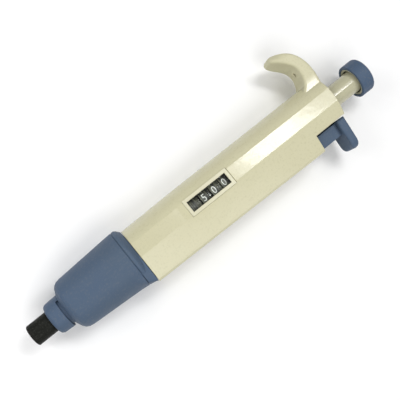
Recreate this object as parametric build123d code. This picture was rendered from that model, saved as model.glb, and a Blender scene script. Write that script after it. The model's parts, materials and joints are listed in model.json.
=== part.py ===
from build123d import *
import os
from math import atan2, cos, pi, radians, sin

# Adjustable-volume pipette lying on its side.
# X runs from the nozzle end to the push button, +Y points to the finger hook, +Z to the display window.

# ---- stations along the axis ----
NECK_START = 12.9
NECK_END = 22.6
SHOULDER_END = 29.2
SEAM = 65.8
SEAM_GROOVE = 0.35
FLANGE_TOP = 70.6
GRIP_START = 70.9
WINDOW_MID = 121.5
LEDGE = 189.5
GRIP_TOP = 214.1
BUTTON_START = 231.5
BUTTON_END = 241.0

# ---- travels ----
EJECTOR_TRAVEL = 7.0

# ---- nozzle, cylinder and piston ----
NOZZLE_R = 6.25
NOZZLE_SHANK_R = 6.05
NOZZLE_SEAT = 12.0
NOZZLE_RIM = 0.4
NOZZLE_BORE_R = 1.5
FILTER_R = 4.2
FILTER_START = 1.6
FILTER_END = 8.6
CYLINDER_BORE_R = 12.0
CYLINDER_R = 13.5
CYLINDER_START = 28.0
CYLINDER_FLOOR = 30.4
CYLINDER_END = 64.0
PISTON_START = 44.5
PISTON_END = 54.0
PISTON_R = 11.85
SEAL_R = 11.95
GROOVE_R = 10.2
GROOVE_START = 47.0
GROOVE_WIDTH = 2.5
ROD_R = 3.0
ROD_END = 80.5
COLLAR_R = 7.0
COLLAR_END = 83.0
SPINDLE_R = 1.75
NUT_R = 14.5

# ---- ejector ----
NECK_R = 9.45
BARREL_LOW_R = 15.55
BARREL_TOP_R = 17.75
SHELL_WALL = 1.6
FLARE_START = 60.0
FLARE_Y = -18.7
RING_INNER_R = 14.75
EJECTOR_ROD_Y = -16.5
EJECTOR_ROD_R = 1.25
LEVER_BAR_START = 172.0
EJECTOR_RIB = 149.5
EJECTOR_RIB_WIDTH = 2.5
LEVER_HALF_WIDTH = 8.8
LEVER_TIP_Y = -31.3
LEVER_TIP_ROUND = 5.0
LEVER_ROUND = 1.4
LEVER_GAP = 0.8
BLOCK_GAP = 1.2
BAR_HALF_WIDTH = 4.5
BAR_Y = -19.7
BLOCK_Y = -20.3

# ---- grip ----
GRIP_FOOT = (14.6, -19.3, 1.14)  # hook side, ejector side, thickening
GRIP_LOW = (15.1, -19.9, 1.0)
GRIP_HIGH = (15.4, -21.9, 1.0)
GRIP_LOW_AT = 102.0
DISPLAY_TILT = 6.5
DISPLAY_HEIGHT = 13.0
FACET_HALF = 4.35
EJECTOR_EDGE_Z = 11.2
EDGE_ROUND = 2.0
MAIN_BORE_R = 11.7
MAIN_BORE_END = 181.0
SPRING_BORE_R = 9.3
SPRING_BORE_END = 198.3
BUSH_R = 8.2
BUSH_END = 212.4
MOUTH_R = 6.95
KEYWAY_Y = 13.4
KEYWAY_HALF = 3.3
KEYWAY_END = 142.0
UPPER_EDGE_Y = -11.35
LEDGE_SLOPE = 0.07
CROWN_R = 55.0
HOOK_HALF_WIDTH = 9.2
HOOK_TIP_ROUND = 7.0
HOOK_ROUND = 1.6
GATE_R = 1.3

# ---- display ----
BEZEL = (30.3, 10.6)
BEZEL_PLUG = (28.4, 8.2)
WINDOW = (26.6, 6.7)
BEZEL_RISE = 0.35
BEZEL_GAP = 0.35
LENS_DROP = 0.45
LENS_THICK = 0.9

# ---- counter ----
WHEEL_PITCH = 7.1
FIRST_WHEEL = 111.0
DRUM_R = 9.0
DRUM_WIDTH = 4.2
GEAR_WIDTH = 2.4
AXLE_R = 5.0
AXLE_BORE_R = 4.2
GEAR_TEETH = 28
GEAR_TIP_R = 8.15
GEAR_ROOT_R = 7.3
PINION_TEETH = 8
PINION_TIP_R = 2.65
PINION_ROOT_R = 1.7
PINION_WIDTH = 2.1
LAYSHAFT_Y = 9.95
LAYSHAFT_R = 0.7
FRAME_START = 104.0
FRAME_END = 138.6
PLATE = 1.6
FRAME_R = 11.5
HEX_FLATS = 6.0
HEX_PLAY = 0.15

# ---- volume setting ----
SCREW_START = 86.0
SCREW_R = 5.6
THREAD_PITCH = 1.105
NUT_START = 95.0
NUT_LENGTH = 7.0

# ---- plunger top ----
STEM_R = 6.55
STEM_START = 190.0
STEM_FLANGE_START = 194.7
STEM_FLANGE_END = 198.1
STEM_FLANGE_R = 9.1
STEM_TOP = 236.0
BUTTON_R = 10.6
BUTTON_SIDES = 18
DOME_RISE = 0.6
CORE_R = 8.9
SEAT_END = 141.5
MAIN_SPRING_R = 7.9
BLOWOUT_SPRING_R = 10.3
BLOWOUT_RING_END = 181.0
BLOWOUT_RING_WIDTH = 1.5


def across(x):
    """The plane square to the axis at x, with its first direction along Y and its second along Z."""
    return Plane(origin=(x, 0, 0), x_dir=(0, 1, 0), z_dir=(1, 0, 0))


def rod(start, end, radius, y=0, z=0):
    return extrude(across(start) * Pos(y, z) * Circle(radius), end - start)


def tube(start, end, outer, inner):
    return rod(start, end, outer) - rod(start - 1, end + 1, inner)


def hexagon(start, end, flats):
    return extrude(across(start) * RegularPolygon(flats / 2, 6, major_radius=False), end - start)


def block(x_range, y_range, z_range):
    sizes = [high - low for low, high in (x_range, y_range, z_range)]
    middle = [(high + low) / 2 for low, high in (x_range, y_range, z_range)]
    return Pos(*middle) * Box(*sizes)


def turned(points):
    """A solid of revolution about the axis, from (x, radius) points."""
    face = make_face(Polyline(*[(x, radius, 0) for x, radius in points], close=True))
    return revolve(face, Axis.X)


def on_display(x, height):
    """The plane parallel to the display facet, at a height above the axis."""
    tilt = radians(DISPLAY_TILT)
    normal = (0, sin(tilt), cos(tilt))
    return Plane(origin=(x, height * normal[1], height * normal[2]), x_dir=(1, 0, 0), z_dir=normal)


def plate_on_display(size, low, high, shift=0):
    return extrude(on_display(WINDOW_MID + shift, low) * Rectangle(*size), high - low)


def grip_corners(ejector_y, thickening):
    """The corners of the grip's upper outline: display facet, then the long flat's rounded edge."""
    tilt = radians(DISPLAY_TILT)
    edge_z = EJECTOR_EDGE_Z * thickening
    ridges = [
        (
            DISPLAY_HEIGHT * sin(tilt) + along * cos(tilt),
            (DISPLAY_HEIGHT * cos(tilt) - along * sin(tilt)) * thickening,
        )
        for along in (FACET_HALF, -FACET_HALF)
    ]
    return ridges + [(ejector_y + EDGE_ROUND, edge_z), (ejector_y, edge_z - EDGE_ROUND)]


def mirrored(point):
    return (point[0], -point[1])


def grip_section(x, hook_y, ejector_y, thickening):
    """The grip's outline: round on the hook side, a display facet, and a long flat to the ejector side."""
    first, second, third, last = grip_corners(ejector_y, thickening)
    arc_y = (hook_y**2 - first[0] ** 2 - first[1] ** 2) / (2 * (hook_y - first[0]))
    inset = EDGE_ROUND * (1 - cos(pi / 4))
    middle = (ejector_y + inset, third[1] - inset)
    edges = [
        ThreePointArc(mirrored(first), (hook_y, 0), first),
        Line(first, second),
        Line(second, third),
        ThreePointArc(third, middle, last),
        Line(last, mirrored(last)),
        ThreePointArc(mirrored(last), mirrored(middle), mirrored(third)),
        Line(mirrored(third), mirrored(second)),
        Line(mirrored(second), mirrored(first)),
    ]
    return across(x) * make_face(Curve() + edges)


def round_section(x, radius, ejector_y, thickening):
    """A circle cut into the same number of edges as the grip's outline, so that the two blend evenly."""
    corners = grip_corners(ejector_y, thickening)
    angles = [atan2(z, y) for y, z in corners]
    angles += [-angle for angle in reversed(angles)]
    starts = angles[-1:] + angles[:-1]
    edges = []
    for start, end in zip(starts, angles):
        sweep_angle = (end - start) % (2 * pi)
        turns = [start, start + sweep_angle / 2, end]
        edges.append(ThreePointArc(*[(radius * cos(turn), radius * sin(turn)) for turn in turns]))
    return across(x) * make_face(Curve() + edges)


def finger_hook():
    """A thick curled finger rest that grows out of the grip's top, round at its tip."""
    root = (GRIP_TOP - 3.2, 4.0)
    outer = Spline(
        (213.0, 9.0), (214.3, 16.5), (214.0, 25.6), (210.8, 33.3), (206.1, 37.7), (200.6, 40.6),
    )
    inner = Spline(
        (197.9, 37.0), (203.0, 32.0), (206.4, 26.9), (206.7, 21.5), (204.0, 15.6), (199.0, 11.0),
    )
    tip = Spline(outer @ 1, (197.3, 39.9), inner @ 0, tangents=[outer % 1, inner % 0])
    base = [Line(inner @ 1, (199.0, 4.0)), Line((199.0, 4.0), root), Line(root, outer @ 0)]
    profile = make_face(Curve() + [outer, tip, inner] + base)
    hook = extrude(Plane.XY.offset(-HOOK_HALF_WIDTH) * profile, 2 * HOOK_HALF_WIDTH)
    reach = 41.0
    length = reach + 12
    plan = Pos(reach - length / 2, 0) * RectangleRounded(length, 2 * HOOK_HALF_WIDTH, HOOK_TIP_ROUND)
    trim = block((185, 225), (0, 60), (-20, 20)) - extrude(across(180) * plan, 50)
    hook -= trim
    rims = [e for e in hook.edges() if e.center().Y > 12 and abs(e.center().Z) > 0.5]
    hook = fillet(rims, HOOK_ROUND)
    gate_mark = Pos(207.0, 24.0, 0) * Rot(0, 90, 0) * Cylinder(GATE_R, 5)
    return hook - gate_mark


def handle_shell():
    sections = [
        grip_section(GRIP_START, *GRIP_FOOT),
        grip_section(GRIP_LOW_AT, *GRIP_LOW),
        grip_section(GRIP_TOP + 2, *GRIP_HIGH),
    ]
    body = loft(sections, ruled=True)
    below = UPPER_EDGE_Y - 15
    ledge = Polygon(
        (LEDGE, UPPER_EDGE_Y), (LEDGE - LEDGE_SLOPE * 15, below), (LEDGE + 40, below),
        (LEDGE + 40, UPPER_EDGE_Y), align=None,
    )
    body -= extrude(ledge, 20, both=True)
    crown = Pos(GRIP_TOP - CROWN_R, 3.0, 0) * Sphere(CROWN_R)
    body -= block((207, 220), (-30, 30), (-20, 20)) - crown
    body += finger_hook()

    body -= rod(GRIP_START - 1, MAIN_BORE_END, MAIN_BORE_R)
    body -= rod(MAIN_BORE_END - 1, SPRING_BORE_END, SPRING_BORE_R)
    body -= rod(SPRING_BORE_END - 1, BUSH_END + 0.2, BUSH_R)
    body -= rod(BUSH_END, GRIP_TOP + 5, MOUTH_R)
    body -= block((GRIP_START - 1, KEYWAY_END), (0, KEYWAY_Y), (-KEYWAY_HALF, KEYWAY_HALF))

    rib_start = EJECTOR_RIB - EJECTOR_RIB_WIDTH
    body -= block((GRIP_START - 1, rib_start), (-18.2, -13.1), (-1.8, 1.8))
    body -= rod(rib_start - 1, EJECTOR_RIB + 1, EJECTOR_ROD_R + 0.1, EJECTOR_ROD_Y)
    bar_slot = BAR_HALF_WIDTH + 0.3
    body -= block((EJECTOR_RIB, LEDGE + 2), (BAR_Y - 0.3, -13.0), (-bar_slot, bar_slot))
    wide_start = LEDGE - EJECTOR_TRAVEL - 0.9
    body -= block((wide_start, LEDGE + 2), (BLOCK_Y - 0.3, UPPER_EDGE_Y), (-bar_slot, bar_slot))

    recess = (BEZEL[0] + 0.1 + BEZEL_GAP, BEZEL[1] + 0.1)
    body -= plate_on_display(recess, DISPLAY_HEIGHT - 0.45, DISPLAY_HEIGHT + 3, BEZEL_GAP / 2)
    body -= plate_on_display((BEZEL_PLUG[0] + 0.1, BEZEL_PLUG[1] + 0.1), 6, DISPLAY_HEIGHT + 3)
    return body


def window_bezel():
    frame = plate_on_display(BEZEL, DISPLAY_HEIGHT - 0.45, DISPLAY_HEIGHT + BEZEL_RISE)
    frame += plate_on_display(BEZEL_PLUG, DISPLAY_HEIGHT - 1.1, DISPLAY_HEIGHT)
    return frame - plate_on_display(WINDOW, 6, DISPLAY_HEIGHT + 3)


def window_lens():
    top = DISPLAY_HEIGHT - LENS_DROP
    return plate_on_display(WINDOW, top - LENS_THICK, top)


def toothed(start, width, teeth, tip_r, root_r, bore_r, y=0, phase=0):
    """A spur gear with narrow straight-sided teeth, so that it runs with play at every angle."""
    body = Circle(root_r)
    tooth_length = tip_r - root_r + 0.3
    step = 2 * pi * (tip_r + root_r) / 2 / teeth
    tooth = Polygon(
        (root_r - 0.3, -0.22 * step), (root_r + tooth_length - 0.3, -0.11 * step),
        (root_r + tooth_length - 0.3, 0.11 * step), (root_r - 0.3, 0.22 * step), align=None,
    )
    for count in range(teeth):
        body += Rot(0, 0, 360 * (count + phase) / teeth) * tooth
    body -= Circle(bore_r)
    return extrude(across(start) * Pos(y, 0) * body, width)


def wheel_middle(number):
    return FIRST_WHEEL + WHEEL_PITCH * number


def number_wheel(number, last):
    """A drum that carries the digits, with a carry gear beside it except on the fastest wheel."""
    middle = wheel_middle(number)
    drum = rod(middle - DRUM_WIDTH / 2, middle + DRUM_WIDTH / 2, DRUM_R)
    if last:
        return drum - hexagon(middle - DRUM_WIDTH, middle + DRUM_WIDTH, HEX_FLATS + 2 * HEX_PLAY)
    drum -= rod(middle - DRUM_WIDTH, middle + DRUM_WIDTH, AXLE_R + 0.05)
    gear_start = middle + DRUM_WIDTH / 2
    return drum + toothed(gear_start, GEAR_WIDTH, GEAR_TEETH, GEAR_TIP_R, GEAR_ROOT_R, AXLE_R + 0.05)


def carry_pinion(number):
    start = wheel_middle(number) + DRUM_WIDTH / 2 + 0.25
    return toothed(
        start, PINION_WIDTH, PINION_TEETH, PINION_TIP_R, PINION_ROOT_R, LAYSHAFT_R + 0.06, LAYSHAFT_Y, 0.5,
    )


def counter_frame():
    """Two keyed end plates joined by a trough behind the wheels."""
    frame = tube(FRAME_START, FRAME_END, FRAME_R, FRAME_R - 1.1)
    frame -= block((FRAME_START - 1, FRAME_END + 1), (-20, 20), (-3.6, 20))
    for start, bore_r in ((FRAME_START, AXLE_R), (FRAME_END - PLATE, AXLE_BORE_R)):
        plate = rod(start, start + PLATE, FRAME_R)
        plate += block((start, start + PLATE), (8, KEYWAY_Y - 0.2), (-KEYWAY_HALF + 0.2, KEYWAY_HALF - 0.2))
        frame += plate - rod(start - 1, start + PLATE + 1, bore_r)
    return frame - rod(FRAME_START - 1, FRAME_END + 1, LAYSHAFT_R, LAYSHAFT_Y)


def lead_screw():
    end = FRAME_START - 0.2
    screw = rod(SCREW_START, end, SCREW_R) - hexagon(SCREW_START - 1, end + 1, HEX_FLATS + 2 * HEX_PLAY)
    turns = int((end - SCREW_START - 1.5) / THREAD_PITCH)
    for turn in range(turns):
        groove = SCREW_START + 1.0 + turn * THREAD_PITCH
        screw -= tube(groove, groove + THREAD_PITCH / 2, SCREW_R + 1, SCREW_R - 0.45)
    return screw


def volume_stop_nut():
    nut = tube(NUT_START, NUT_START + NUT_LENGTH, 11.3, SCREW_R + 0.08)
    key = block(
        (NUT_START, NUT_START + NUT_LENGTH), (9, KEYWAY_Y - 0.3), (-KEYWAY_HALF + 0.2, KEYWAY_HALF - 0.2)
    )
    return nut + (key - rod(NUT_START - 1, NUT_START + NUT_LENGTH + 1, 9.5))


def coil_spring(start, end, mean_r, wire_r, pitch, y=0):
    """A round-wire compression spring between two faces."""
    low = start + wire_r
    path = Helix(pitch, end - start - 2 * wire_r, mean_r, center=(0, 0, 0), direction=(0, 0, 1))
    profile = Plane(origin=path @ 0, z_dir=path % 0) * Circle(wire_r)
    return Pos(low, y, 0) * Rot(0, 90, 0) * sweep(profile, path=path, is_frenet=True)


def nozzle_cone():
    """The cone a tip is pushed onto, a little slimmer where the barrel's neck covers it."""
    shape = turned([
        (0, 0), (0, NOZZLE_R - NOZZLE_RIM), (NOZZLE_RIM, NOZZLE_R), (NOZZLE_SEAT, NOZZLE_R),
        (NOZZLE_SEAT, NOZZLE_SHANK_R), (25.4, NOZZLE_SHANK_R), (25.4, 10.4), (CYLINDER_START, 10.4),
        (CYLINDER_START, 0),
    ])
    shape -= rod(-1, CYLINDER_START + 1, NOZZLE_BORE_R)
    shape -= rod(-1, FILTER_END, FILTER_R)
    return shape - tube(CYLINDER_START - 1.2, CYLINDER_START + 1, 7.6, 5.6)


def cylinder():
    body = rod(CYLINDER_START, CYLINDER_END, CYLINDER_R)
    body -= rod(CYLINDER_FLOOR, CYLINDER_END + 1, CYLINDER_BORE_R)
    body = chamfer(body.edges().sort_by(Axis.X)[0], 0.8)
    return body - rod(CYLINDER_START - 1, CYLINDER_FLOOR + 1, NOZZLE_BORE_R)


def cylinder_adapter():
    """Joins the cylinder to the grip: a plug in the grip's bore and a threaded neck for the nut."""
    shape = rod(GRIP_START - 0.2, 79.0, MAIN_BORE_R - 0.05) + rod(CYLINDER_END, GRIP_START - 0.2, CYLINDER_R)
    return shape - rod(CYLINDER_END - 1, 80.0, COLLAR_R + 0.4)


def cylinder_nut():
    return tube(58.0, 70.3, NUT_R, CYLINDER_R + 0.05)


def piston_head():
    head = rod(PISTON_START, PISTON_END, PISTON_R)
    head -= tube(GROOVE_START, GROOVE_START + GROOVE_WIDTH, PISTON_R + 1, GROOVE_R)
    return head - rod(PISTON_START + 2.5, PISTON_END + 1, ROD_R)


def barrel_flare():
    """The swelling that carries the round barrel out to the grip's outline on the ejector side."""
    hook_y, _, thickening = GRIP_FOOT
    share = (FLARE_START - SHOULDER_END) / (SEAM - 0.4 - SHOULDER_END)
    radius = BARREL_LOW_R + (BARREL_TOP_R - BARREL_LOW_R) * share
    low = round_section(FLARE_START, radius - 0.05, FLARE_Y, thickening)
    high = grip_section(FLANGE_TOP, hook_y + 0.2, FLARE_Y, thickening)
    return loft([low, high], ruled=True)


def ejector_collar():
    """The blue barrel that slides over the nozzle to push a tip off, with its narrow neck at the front."""
    outside = turned([
        (NECK_START, 0), (NECK_START, NECK_R - 1.9), (NECK_START + 0.5, NECK_R - 0.8),
        (NECK_START + 1.6, NECK_R - 0.15), (NECK_START + 3, NECK_R), (NECK_END, NECK_R + 0.3),
        (23.9, 12.6), (25.2, 14.2), (26.8, 15.1), (SHOULDER_END, BARREL_LOW_R), (SEAM - 0.4, BARREL_TOP_R),
        (SEAM, BARREL_TOP_R - 0.35), (SEAM, 0),
    ])
    outside += barrel_flare() - rod(SEAM - SEAM_GROOVE, FLANGE_TOP + 1, 30)
    inside = turned([
        (NECK_START - 1, 0), (NECK_START - 1, NOZZLE_R + 0.3), (24.2, NOZZLE_R + 0.3), (24.2, 10.8),
        (27.8, BARREL_LOW_R - SHELL_WALL), (SEAM + 1, BARREL_TOP_R - SHELL_WALL), (SEAM + 1, 0),
    ])
    slot = tube(20.9, 22.5, NECK_R + 3, NECK_R - 1.2) - block((20, 23), (6.8, 20), (-20, 20))
    return outside - inside - slot


def ejector_flange_ring():
    """Rounds the barrel off against the grip and holds the foot of the ejector rod."""
    body = turned([
        (SEAM, 0), (SEAM, BARREL_TOP_R - 0.5), (SEAM + 0.25, BARREL_TOP_R - 0.15), (SEAM + 0.7, BARREL_TOP_R),
        (SEAM + 1.9, BARREL_TOP_R), (SEAM + 2.9, BARREL_TOP_R - 0.7), (SEAM + 3.9, BARREL_TOP_R - 1.8),
        (FLANGE_TOP, BARREL_TOP_R - 3.0), (FLANGE_TOP, 0),
    ])
    body += barrel_flare() - rod(FLARE_START - 1, SEAM, 30)
    body -= rod(SEAM - 1, FLANGE_TOP + 1, RING_INNER_R)
    return body - rod(SEAM + 1.0, FLANGE_TOP + 1, EJECTOR_ROD_R, EJECTOR_ROD_Y)


def ejector_lever():
    """A stem in the grip's slot that turns out into a thumb arm."""
    bar = block((LEVER_BAR_START, 207), (BAR_Y, -13.3), (-BAR_HALF_WIDTH, BAR_HALF_WIDTH))
    bar += block((LEDGE + 0.2, 207), (BLOCK_Y, UPPER_EDGE_Y - BLOCK_GAP), (-BAR_HALF_WIDTH, BAR_HALF_WIDTH))
    bar += block((LEDGE + 0.2, 207), (BLOCK_Y, UPPER_EDGE_Y - 0.3), (-BAR_HALF_WIDTH, 0))
    top = Line((211.2, UPPER_EDGE_Y - LEVER_GAP), (209.4, -28.2))
    under = Line((204.3, -28.2), (205.6, UPPER_EDGE_Y - LEVER_GAP))
    tip = Spline(top @ 1, (206.9, -31.2), under @ 0, tangents=[top % 1, under % 0])
    root = Line(under @ 1, top @ 0)
    arm = extrude(
        Plane.XY.offset(-LEVER_HALF_WIDTH) * make_face(Curve() + [top, tip, under, root]), 2 * LEVER_HALF_WIDTH
    )
    length = 40
    plan = Pos(LEVER_TIP_Y + length / 2, 0) * RectangleRounded(length, 2 * LEVER_HALF_WIDTH, LEVER_TIP_ROUND)
    arm -= block((200, 215), (-40, 0), (-10, 10)) - extrude(across(199) * plan, 20)
    rims = [e for e in arm.edges() if abs(e.center().Z) > 1 and e.center().Y < -12]
    arm = fillet(rims, LEVER_ROUND)
    lever = bar + arm
    return lever - rod(LEVER_BAR_START - 1, LEVER_BAR_START + 5, EJECTOR_ROD_R, EJECTOR_ROD_Y)


def button_stem():
    stem = rod(STEM_START, STEM_TOP, STEM_R) + rod(STEM_FLANGE_START, STEM_FLANGE_END, STEM_FLANGE_R)
    stem -= hexagon(STEM_START - 1, STEM_START + 6, HEX_FLATS)
    return stem - rod(STEM_START, STEM_TOP - 2.5, SPINDLE_R + 0.1)


def drive_sleeve():
    return hexagon(84.0, STEM_START + 6, HEX_FLATS) - rod(83, STEM_START + 7, SPINDLE_R + 0.06)


def button_cap():
    """A shallow-domed cap with faint flats round its side, hollow below."""
    rim = BUTTON_END - DOME_RISE
    outline = [
        Line((BUTTON_START, CORE_R), (BUTTON_START, BUTTON_R - 0.4)),
        Line((BUTTON_START, BUTTON_R - 0.4), (BUTTON_START + 0.4, BUTTON_R)),
        Line((BUTTON_START + 0.4, BUTTON_R), (rim, BUTTON_R)),
        ThreePointArc((rim, BUTTON_R), (BUTTON_END - DOME_RISE / 4, BUTTON_R / 2), (BUTTON_END, 0)),
        Line((BUTTON_END, 0), (STEM_TOP, 0)),
        Line((STEM_TOP, 0), (STEM_TOP, CORE_R)),
        Line((STEM_TOP, CORE_R), (BUTTON_START, CORE_R)),
    ]
    cap = revolve(make_face(Curve() + outline), Axis.X)
    cap = fillet([e for e in cap.edges() if abs(e.center().X - rim) < 0.01 and e.length > 30], 1.6)
    length = BUTTON_END - BUTTON_START + 2
    flats = extrude(across(BUTTON_START - 1) * RegularPolygon(BUTTON_R + 0.04, BUTTON_SIDES), length)
    return cap - (rod(BUTTON_START - 1, BUTTON_START - 1 + length, BUTTON_R + 3) - flats)


def button_core_ring():
    return tube(BUTTON_START + 0.5, STEM_TOP, CORE_R, CORE_R - 1.2)


def save(shape, name):
    export_step(shape, f"parts/{name}.step")


os.makedirs("parts", exist_ok=True)

WHEEL_NAMES = ["thousands_wheel", "ones_wheel", "tenths_wheel", "hundredths_wheel"]
for index, wheel_name in enumerate(WHEEL_NAMES):
    save(number_wheel(index, wheel_name == WHEEL_NAMES[-1]), wheel_name)
for index in range(len(WHEEL_NAMES) - 1):
    save(carry_pinion(index), f"carry_pinion_{index + 1}")

save(nozzle_cone(), "nozzle_cone")
save(rod(FILTER_START, FILTER_END, FILTER_R), "cone_filter")
save(Pos(CYLINDER_START - 0.6, 0, 0) * Rot(0, 90, 0) * Torus(6.6, 0.6), "nozzle_o_ring")
save(cylinder(), "cylinder")
save(cylinder_nut(), "cylinder_nut")
save(cylinder_adapter(), "cylinder_adapter")
save(piston_head(), "piston_head")
save(tube(GROOVE_START, GROOVE_START + GROOVE_WIDTH, SEAL_R, 11.2), "piston_seal")
save(Pos(GROOVE_START + GROOVE_WIDTH / 2, 0, 0) * Rot(0, 90, 0) * Torus(10.7, 0.5), "piston_o_ring")
save(rod(PISTON_START + 2.5, ROD_END, ROD_R) - rod(76, ROD_END + 1, SPINDLE_R), "piston_rod")
save(tube(ROD_END, COLLAR_END, COLLAR_R, SPINDLE_R), "stop_collar")
save(rod(76, STEM_TOP - 2.6, SPINDLE_R), "spindle")

save(ejector_collar(), "ejector_collar")
save(ejector_flange_ring(), "ejector_flange_ring")
save(rod(SEAM + 1.0, LEVER_BAR_START + 5, EJECTOR_ROD_R, EJECTOR_ROD_Y), "ejector_rod")
save(ejector_lever(), "ejector_lever")
save(coil_spring(EJECTOR_RIB, LEVER_BAR_START, 1.85, 0.3, 2.2, EJECTOR_ROD_Y), "ejector_spring")

save(handle_shell(), "handle_shell")
save(window_bezel(), "window_bezel")
save(window_lens(), "window_lens")
save(counter_frame(), "counter_frame")
save(tube(FRAME_START, wheel_middle(3) - DRUM_WIDTH / 2 - 0.2, AXLE_R, AXLE_BORE_R), "counter_axle_tube")
save(rod(FRAME_START, FRAME_END, LAYSHAFT_R, LAYSHAFT_Y), "counter_layshaft")
save(lead_screw(), "lead_screw")
save(volume_stop_nut(), "volume_stop_nut")
save(tube(FRAME_END, SEAT_END, MAIN_BORE_R - 0.1, AXLE_BORE_R), "spring_seat")
save(coil_spring(SEAT_END, STEM_FLANGE_START, MAIN_SPRING_R, 0.45, 4.2), "main_spring")
blowout_low = BLOWOUT_RING_END - BLOWOUT_RING_WIDTH
save(coil_spring(SEAT_END, blowout_low, BLOWOUT_SPRING_R, 0.6, 4.2), "blowout_spring")
save(tube(blowout_low, BLOWOUT_RING_END, MAIN_BORE_R - 0.3, MAIN_SPRING_R + 0.7), "blowout_ring")
save(tube(SPRING_BORE_END, BUSH_END, BUSH_R, STEM_R + 0.08), "top_guide_bush")

save(button_stem(), "button_stem")
save(drive_sleeve(), "drive_sleeve")
save(button_cap(), "button_cap")
save(button_core_ring(), "button_core_ring")
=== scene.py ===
import json
import math

import bmesh
import bpy
from mathutils import Matrix, Vector


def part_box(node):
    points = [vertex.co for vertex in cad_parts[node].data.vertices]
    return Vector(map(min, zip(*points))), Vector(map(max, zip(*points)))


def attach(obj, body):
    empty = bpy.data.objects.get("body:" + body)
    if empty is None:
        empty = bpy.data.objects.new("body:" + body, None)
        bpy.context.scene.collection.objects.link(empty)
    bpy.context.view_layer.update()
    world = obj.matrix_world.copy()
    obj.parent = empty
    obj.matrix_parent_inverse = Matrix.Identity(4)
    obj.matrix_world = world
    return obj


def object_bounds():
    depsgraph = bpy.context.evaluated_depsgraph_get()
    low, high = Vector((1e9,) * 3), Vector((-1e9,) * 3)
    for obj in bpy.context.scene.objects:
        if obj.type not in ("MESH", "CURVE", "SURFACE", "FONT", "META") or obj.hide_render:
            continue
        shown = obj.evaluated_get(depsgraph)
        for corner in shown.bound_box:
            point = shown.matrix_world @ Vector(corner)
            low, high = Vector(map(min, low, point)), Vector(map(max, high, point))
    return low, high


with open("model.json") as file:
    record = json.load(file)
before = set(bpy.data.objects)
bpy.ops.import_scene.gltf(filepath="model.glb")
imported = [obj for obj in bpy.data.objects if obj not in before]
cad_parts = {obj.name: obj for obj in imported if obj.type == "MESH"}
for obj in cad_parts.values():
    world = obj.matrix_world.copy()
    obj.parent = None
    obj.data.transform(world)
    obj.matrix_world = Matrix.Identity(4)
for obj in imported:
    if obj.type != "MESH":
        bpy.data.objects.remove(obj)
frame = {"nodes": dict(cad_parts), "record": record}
cad_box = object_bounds()

MM = 0.001
nodes = frame["nodes"]


# ---------------------------------------------------------------- camera
CAMERA_TILT = math.radians(8.5)
CAMERA_ROLL = math.radians(38.54)
CAMERA_DISTANCE = 0.339
CAMERA_AIM = Vector((0.1168, 0.0013, 0.0))
LENS = 54
SENSOR_WIDTH = 36
NEAREST_VISIBLE = 0.01


def make_camera():
    """A camera above the pipette, turned so that the axis climbs to the right."""
    along = Vector((math.cos(CAMERA_TILT), 0, math.sin(CAMERA_TILT)))
    side = Vector((0, 1, 0))
    back = Vector((-math.sin(CAMERA_TILT), 0, math.cos(CAMERA_TILT)))
    right = math.cos(CAMERA_ROLL) * along - math.sin(CAMERA_ROLL) * side
    up = math.sin(CAMERA_ROLL) * along + math.cos(CAMERA_ROLL) * side
    data = bpy.data.cameras.new("camera")
    data.lens = LENS
    data.sensor_width = SENSOR_WIDTH
    data.clip_start = NEAREST_VISIBLE
    camera = bpy.data.objects.new("camera", data)
    bpy.context.scene.collection.objects.link(camera)
    turn = Matrix((right, up, back)).transposed().to_4x4()
    camera.matrix_world = Matrix.Translation(CAMERA_AIM + back * CAMERA_DISTANCE) @ turn
    bpy.context.scene.camera = camera


make_camera()


# ---------------------------------------------------------------- material helpers
def srgb(r, g, b):
    """A linear colour from red, green and blue out of 255."""
    def linear(c):
        c /= 255
        return c / 12.92 if c <= 0.04045 else ((c + 0.055) / 1.055) ** 2.4

    return (linear(r), linear(g), linear(b), 1)


def new_material(name):
    """A new material, its node tree and its main shader."""
    material = bpy.data.materials.new(name)
    material.use_nodes = True
    tree = material.node_tree
    return material, tree, tree.nodes["Principled BSDF"]


def noise(tree, scale, detail=2.0, stretch=None):
    """Noise over the object's own coordinates, in features per metre."""
    source = tree.nodes.new("ShaderNodeTexCoord").outputs["Object"]
    if stretch:
        mapping = tree.nodes.new("ShaderNodeMapping")
        mapping.inputs["Scale"].default_value = stretch
        tree.links.new(source, mapping.inputs["Vector"])
        source = mapping.outputs["Vector"]
    node = tree.nodes.new("ShaderNodeTexNoise")
    node.inputs["Scale"].default_value = scale
    node.inputs["Detail"].default_value = detail
    tree.links.new(source, node.inputs["Vector"])
    return node.outputs["Fac"]


def remap(tree, value, low, high, start=0.3, stop=0.7):
    """Spreads the middle of a noise over low to high."""
    node = tree.nodes.new("ShaderNodeMapRange")
    node.inputs["From Min"].default_value = start
    node.inputs["From Max"].default_value = stop
    node.inputs["To Min"].default_value = low
    node.inputs["To Max"].default_value = high
    tree.links.new(value, node.inputs["Value"])
    return node.outputs["Result"]


def blend_colours(tree, factor, first, second):
    """Mixes two colours, each a fixed one or a socket."""
    node = tree.nodes.new("ShaderNodeMix")
    node.data_type = "RGBA"
    tree.links.new(factor, node.inputs[0])
    for socket, colour in ((node.inputs[6], first), (node.inputs[7], second)):
        if isinstance(colour, tuple):
            socket.default_value = colour
        else:
            tree.links.new(colour, socket)
    return node.outputs[2]


def bump(tree, height, depth, normal=None):
    """A normal that follows a height, depth metres deep."""
    node = tree.nodes.new("ShaderNodeBump")
    node.inputs["Strength"].default_value = 1.0
    node.inputs["Distance"].default_value = depth
    tree.links.new(height, node.inputs["Height"])
    if normal:
        tree.links.new(normal, node.inputs["Normal"])
    return node.outputs["Normal"]


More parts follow.
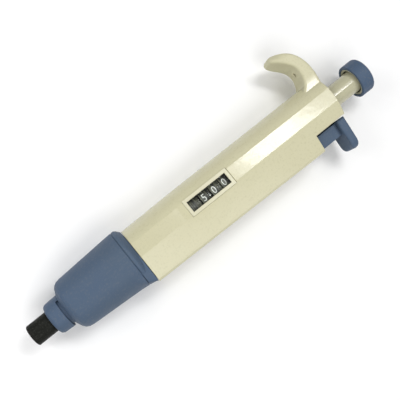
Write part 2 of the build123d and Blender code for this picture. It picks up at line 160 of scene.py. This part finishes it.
def rounded_edges(tree, radius):
    """A normal that softens sharp edges."""
    node = tree.nodes.new("ShaderNodeBevel")
    node.samples = 6
    node.inputs["Radius"].default_value = radius
    return node.outputs["Normal"]


DRIFT_SCALE = 28
GLOSS_SCALE = 140
WAVE_SCALE = 240


def moulded_plastic(
    name, colour, shade, fleck,
    gloss=(0.3, 0.4), edge=0.0, grain=900, depth=0.006 * MM, shine=0.5, wave=0.0,
):
    """Moulded plastic: slow drifts of colour, fine flecks, uneven gloss, a fine grain and soft waves."""
    material, tree, shader = new_material(name)
    shader.inputs["Specular IOR Level"].default_value = shine
    drift = remap(tree, noise(tree, DRIFT_SCALE, 3), 0, 1)
    flecks = remap(tree, noise(tree, grain, 2), 0, 1, 0.52, 0.75)
    body = blend_colours(tree, drift, colour, shade)
    tree.links.new(blend_colours(tree, flecks, body, fleck), shader.inputs["Base Color"])
    tree.links.new(remap(tree, noise(tree, GLOSS_SCALE, 3), *gloss), shader.inputs["Roughness"])
    normal = rounded_edges(tree, edge) if edge else None
    if wave:
        normal = bump(tree, noise(tree, WAVE_SCALE, 1), wave, normal)
    normal = bump(tree, noise(tree, 1.6 * grain, 3), depth, normal)
    tree.links.new(normal, shader.inputs["Normal"])
    return material


HOOK_ROOT_Y = 14 * MM
HOOK_MATT_Y = 18 * MM
HOOK_EXTRA_ROUGHNESS = 0.4


def matt_hook(material):
    """Makes the finger hook less glossy than the body it grows out of."""
    tree = material.node_tree
    shader = tree.nodes["Principled BSDF"]
    old = shader.inputs["Roughness"].links[0].from_socket
    split = tree.nodes.new("ShaderNodeSeparateXYZ")
    tree.links.new(tree.nodes.new("ShaderNodeTexCoord").outputs["Object"], split.inputs[0])
    extra = remap(tree, split.outputs["Y"], 0, HOOK_EXTRA_ROUGHNESS, HOOK_ROOT_Y, HOOK_MATT_Y)
    total = tree.nodes.new("ShaderNodeMath")
    total.operation = "ADD"
    tree.links.new(old, total.inputs[0])
    tree.links.new(extra, total.inputs[1])
    tree.links.new(total.outputs[0], shader.inputs["Roughness"])


TURNING_SCALE = 1100
TURNING_STRETCH = (1, 0.05, 0.05)
TURNING_DEPTH = 0.0008 * MM


def turned_plastic_with_painted_sheen(name, colour, shade, gloss=(0.5, 0.32)):
    """Dark plastic with fine turning streaks that run round the X axis: real in gloss and height, while
    their light colour is a painted highlight standing in for the sheen on the drum.
    """
    material, tree, shader = new_material(name)
    shader.inputs["Specular IOR Level"].default_value = 1.0
    marks_and_sheen = noise(tree, TURNING_SCALE, 3, TURNING_STRETCH)
    # Painted highlight: the lighter streak colour stands in for the drum's sheen.
    mixed = blend_colours(tree, remap(tree, marks_and_sheen, 0, 1, 0.44, 0.68), colour, shade)
    tree.links.new(mixed, shader.inputs["Base Color"])
    tree.links.new(remap(tree, marks_and_sheen, *gloss), shader.inputs["Roughness"])
    tree.links.new(bump(tree, marks_and_sheen, TURNING_DEPTH), shader.inputs["Normal"])
    return material


def brushed_metal(name, colour, shade, gloss=(0.22, 0.38), stretch=(8, 1, 1)):
    """Metal with fine streaks of colour and height."""
    material, tree, shader = new_material(name)
    shader.inputs["Metallic"].default_value = 1.0
    streaks = noise(tree, 700, 3, stretch)
    mixed = blend_colours(tree, remap(tree, streaks, 0, 1), colour, shade)
    tree.links.new(mixed, shader.inputs["Base Color"])
    tree.links.new(remap(tree, noise(tree, 160, 3), *gloss), shader.inputs["Roughness"])
    tree.links.new(bump(tree, streaks, 0.004 * MM), shader.inputs["Normal"])
    return material


# ---------------------------------------------------------------- materials
cream = moulded_plastic(
    "cream_plastic", srgb(200, 196, 165), srgb(197, 193, 161), srgb(191, 187, 155),
    gloss=(0.13, 0.18), edge=0.3 * MM, wave=0.04 * MM,
)
matt_hook(cream)
stem_cream = moulded_plastic(
    "stem_plastic", srgb(184, 181, 154), srgb(180, 177, 150), srgb(174, 171, 144),
    gloss=(0.09, 0.13), edge=0.2 * MM,
)
# Painted light: a lighter copy of the cream plastic for the raised window bezel, standing in for the
# extra light the bezel catches.
bezel_cream_painted_light = moulded_plastic(
    "bezel_plastic_painted_light", srgb(208, 205, 177), srgb(205, 201, 173), srgb(200, 196, 167),
    gloss=(0.3, 0.38), edge=0.12 * MM,
)
beige = moulded_plastic("beige_plastic", srgb(176, 174, 150), srgb(166, 164, 142), srgb(150, 148, 128))
blue = moulded_plastic(
    "blue_plastic", srgb(72, 90, 114), srgb(76, 92, 111), srgb(86, 98, 113),
    gloss=(0.5, 0.6), edge=0.3 * MM, shine=0.22,
)
black = moulded_plastic(
    "black_plastic", srgb(14, 16, 11), srgb(20, 22, 16), srgb(44, 45, 40),
    gloss=(0.5, 0.6), edge=0.15 * MM, grain=1300, shine=0.15,
)
white = moulded_plastic("white_plastic", srgb(214, 215, 210), srgb(205, 206, 202), srgb(190, 191, 188))
grey = moulded_plastic("grey_plastic", srgb(128, 131, 132), srgb(118, 121, 124), srgb(100, 103, 106))
# The light streak colour on the black wheels is a painted highlight on the drums.
wheel_black = turned_plastic_with_painted_sheen("wheel_black", srgb(14, 15, 11), srgb(126, 126, 104))
ink = moulded_plastic(
    "digit_ink", srgb(253, 254, 252), srgb(250, 251, 248), srgb(240, 242, 238), gloss=(0.4, 0.5),
)
rubber = moulded_plastic(
    "rubber", srgb(30, 30, 31), srgb(38, 38, 38), srgb(58, 57, 55),
    gloss=(0.6, 0.75), grain=1500, depth=0.02 * MM,
)
felt = moulded_plastic(
    "filter_felt", srgb(222, 221, 214), srgb(204, 203, 195), srgb(180, 178, 168),
    gloss=(0.85, 0.95), grain=2200, depth=0.12 * MM,
)
steel = brushed_metal("steel", srgb(182, 183, 184), srgb(150, 152, 154))
brass = brushed_metal("brass", srgb(196, 166, 98), srgb(166, 136, 74), (0.25, 0.4), (1, 6, 6))


WINDOW_TINT = (0.97, 0.98, 0.97, 1)
WINDOW_ROUGHNESS = (0.22, 0.34)
WINDOW_IOR = 1.12


def clear_window():
    """A thin clear pane: see-through, with a faint smeared reflection."""
    material, tree, shader = new_material("clear_window")
    tree.nodes.remove(shader)
    see_through = tree.nodes.new("ShaderNodeBsdfTransparent")
    see_through.inputs["Color"].default_value = WINDOW_TINT
    gloss = tree.nodes.new("ShaderNodeBsdfGlossy")
    gloss.inputs["Color"].default_value = (1, 1, 1, 1)
    tree.links.new(remap(tree, noise(tree, 260, 3), *WINDOW_ROUGHNESS), gloss.inputs["Roughness"])
    tree.links.new(bump(tree, noise(tree, 180, 2), 0.01 * MM), gloss.inputs["Normal"])
    weight = tree.nodes.new("ShaderNodeFresnel")
    weight.inputs["IOR"].default_value = WINDOW_IOR
    mix = tree.nodes.new("ShaderNodeMixShader")
    tree.links.new(weight.outputs["Fac"], mix.inputs["Fac"])
    tree.links.new(see_through.outputs[0], mix.inputs[1])
    tree.links.new(gloss.outputs[0], mix.inputs[2])
    tree.links.new(mix.outputs[0], tree.nodes["Material Output"].inputs["Surface"])
    return material


lens = clear_window()

slot_looks = {
    "cream_plastic": cream, "beige_plastic": beige, "blue_plastic": blue, "black_plastic": black,
    "white_plastic": white, "grey_plastic": grey, "wheel_black": wheel_black, "rubber": rubber,
    "filter_felt": felt, "steel": steel, "brass": brass, "clear_window": lens,
}
for subpart in frame["record"]["subparts"]:
    mesh = nodes[subpart["node"]].data
    mesh.materials.clear()
    mesh.materials.append(slot_looks[subpart["material_slot"]])
# The bezel gets the lighter copy of the cream plastic, its extra lightness painted light.
nodes["window_bezel"].data.materials[0] = bezel_cream_painted_light
nodes["button_stem"].data.materials[0] = stem_cream


# ---------------------------------------------------------------- digits on the counter wheels
DISPLAY_TILT = math.radians(6.5)
DRUM_R = 9.0 * MM
DRUM_HALF = 2.1 * MM
DIGIT_HEIGHT = 4.3 * MM
DIGIT_WIDTH = 0.86
DIGIT_STROKE = 0.004
BEND_CUTS = range(-4, 5)
INK_THICKNESS = 0.04 * MM
STEPS = 10
DOT_X = 121.1 * MM
DOT_SIDE = -1.4 * MM
DOT_R = 0.36 * MM


def new_piece(name, mesh, body):
    """An inked piece that rides on a body."""
    mesh.materials.append(ink)
    piece = bpy.data.objects.new(name, mesh)
    bpy.context.scene.collection.objects.link(piece)
    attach(piece, body)


def drum_middle(wheel):
    """The middle of a wheel's drum: a gear stands beside the drum on all but the hundredths wheel."""
    low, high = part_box(wheel)
    return (low.x + high.x) / 2 if wheel == "hundredths_wheel" else low.x + DRUM_HALF


def flat_digit(character):
    """A digit as a thin flat mesh, centred, upright along Y, with crossing edges so that it can bend."""
    curve = bpy.data.curves.new("digit", "FONT")
    curve.body = character
    curve.offset = DIGIT_STROKE
    curve.extrude = 0.5
    holder = bpy.data.objects.new("digit", curve)
    bpy.context.scene.collection.objects.link(holder)
    bpy.context.view_layer.update()
    mesh = bpy.data.meshes.new_from_object(holder)
    bpy.data.objects.remove(holder)
    shape = bmesh.new()
    shape.from_mesh(mesh)
    bpy.data.meshes.remove(mesh)
    low = Vector([min(v.co[i] for v in shape.verts) for i in range(3)])
    high = Vector([max(v.co[i] for v in shape.verts) for i in range(3)])
    scale = DIGIT_HEIGHT / (high.y - low.y)
    centre = (low + high) / 2
    for vertex in shape.verts:
        at = vertex.co - centre
        vertex.co = Vector((at.x * scale * DIGIT_WIDTH, at.y * scale, at.z * INK_THICKNESS))
    for cut in BEND_CUTS:
        height = cut * DIGIT_HEIGHT / 10
        geometry = shape.verts[:] + shape.edges[:] + shape.faces[:]
        bmesh.ops.bisect_plane(shape, geom=geometry, plane_co=(0, height, 0), plane_no=(0, 1, 0))
    return shape


def wheel_digits(name, wheel, body, characters):
    """Digits round a wheel's drum, the first at the window, each next one a tenth of a turn behind."""
    middle = drum_middle(wheel)
    whole = bmesh.new()
    for step, character in enumerate(characters):
        shape = flat_digit(character)
        for vertex in shape.verts:
            turn = DISPLAY_TILT + 2 * math.pi * step / STEPS + vertex.co.y / DRUM_R
            reach = DRUM_R + vertex.co.z
            outward = Vector((0, math.sin(turn), math.cos(turn)))
            vertex.co = Vector((middle + vertex.co.x, 0, 0)) + reach * outward
        part = bpy.data.meshes.new("part")
        shape.to_mesh(part)
        shape.free()
        whole.from_mesh(part)
        bpy.data.meshes.remove(part)
    mesh = bpy.data.meshes.new(name)
    whole.to_mesh(mesh)
    whole.free()
    new_piece(name, mesh, body)


wheel_digits("ones_digits", "ones_wheel", "ones", "5432109876")
wheel_digits("tenths_digits", "tenths_wheel", "tenths", "0987654321")
wheel_digits("hundredths_digits", "hundredths_wheel", "hundredths", "0505050505")


def decimal_point():
    """A printed dot on the underside of the window, between the ones and the tenths."""
    normal = Vector((0, math.sin(DISPLAY_TILT), math.cos(DISPLAY_TILT)))
    across = Vector((0, math.cos(DISPLAY_TILT), -math.sin(DISPLAY_TILT)))
    underside = min(vertex.co.dot(normal) for vertex in nodes["window_lens"].data.vertices)
    shape = bmesh.new()
    bmesh.ops.create_cone(
        shape, cap_ends=True, segments=40, radius1=DOT_R, radius2=DOT_R, depth=INK_THICKNESS
    )
    turn = Matrix((Vector((1, 0, 0)), across, normal)).transposed().to_4x4()
    middle = Vector((DOT_X, 0, 0)) + across * DOT_SIDE + normal * (underside - INK_THICKNESS)
    shape.transform(Matrix.Translation(middle) @ turn)
    mesh = bpy.data.meshes.new("decimal_point")
    shape.to_mesh(mesh)
    shape.free()
    new_piece("decimal_point", mesh, "grip")


decimal_point()


# ---------------------------------------------------------------- floor and light
def area_light(name, place, aim, long_axis, size, power):
    """A softbox at a place, facing a point, with its longer side turned along an axis."""
    facing = (Vector(place) - Vector(aim)).normalized()
    across = facing.cross(Vector(long_axis)).normalized()
    data = bpy.data.lights.new(name, "AREA")
    data.shape = "RECTANGLE"
    data.size, data.size_y = size
    data.energy = power
    light = bpy.data.objects.new(name, data)
    turn = Matrix((across.cross(facing), across, facing)).transposed().to_4x4()
    light.matrix_world = Matrix.Translation(place) @ turn
    bpy.context.scene.collection.objects.link(light)


FLOOR_SIZE = 8
FLOOR_GREYS = (0.95, 0.94, 0.93)
STRIP_DISTANCE = 0.75
STRIP_DIRECTION = Vector((0.372, 0.09, 0.917))
STRIP_AIM = Vector((0.18, 0, 0.013))
STRIP_LONG_AXIS = (0.574, -0.819, 0)
WORLD_STRENGTH = 0.25

floor_level = cad_box[0].z
bpy.ops.mesh.primitive_plane_add(size=FLOOR_SIZE, location=(0.1, 0, floor_level))
floor = bpy.context.object
floor.name = "floor"
greys = [(grey, grey, grey, 1) for grey in FLOOR_GREYS]
floor.data.materials.append(moulded_plastic("floor", *greys, gloss=(0.8, 0.9), grain=60))

# name, place, aim, long axis, size, power
area_light(
    "strip", STRIP_AIM + STRIP_DISTANCE * STRIP_DIRECTION, STRIP_AIM, STRIP_LONG_AXIS, (0.38, 0.1), 1.85
)
area_light("panel", (0.50, 0.17, 0.79), (0.15, 0, 0), (1, 0, 0), (0.40, 0.22), 0.9)
area_light("key", (-0.05, -0.62, 0.85), (0.08, 0, 0), (1, 0, 0), (1.1, 0.7), 6.3)
area_light("fill", (-0.1, 0.2, 0.27), (0.03, 0, 0), (0, 1, 0), (0.26, 0.26), 0.6)
world = bpy.data.worlds.new("world")
bpy.context.scene.world = world
world.use_nodes = True
background = world.node_tree.nodes["Background"]
background.inputs["Color"].default_value = (1, 1, 1, 1)
background.inputs["Strength"].default_value = WORLD_STRENGTH
bpy.context.scene.view_settings.view_transform = "Standard"
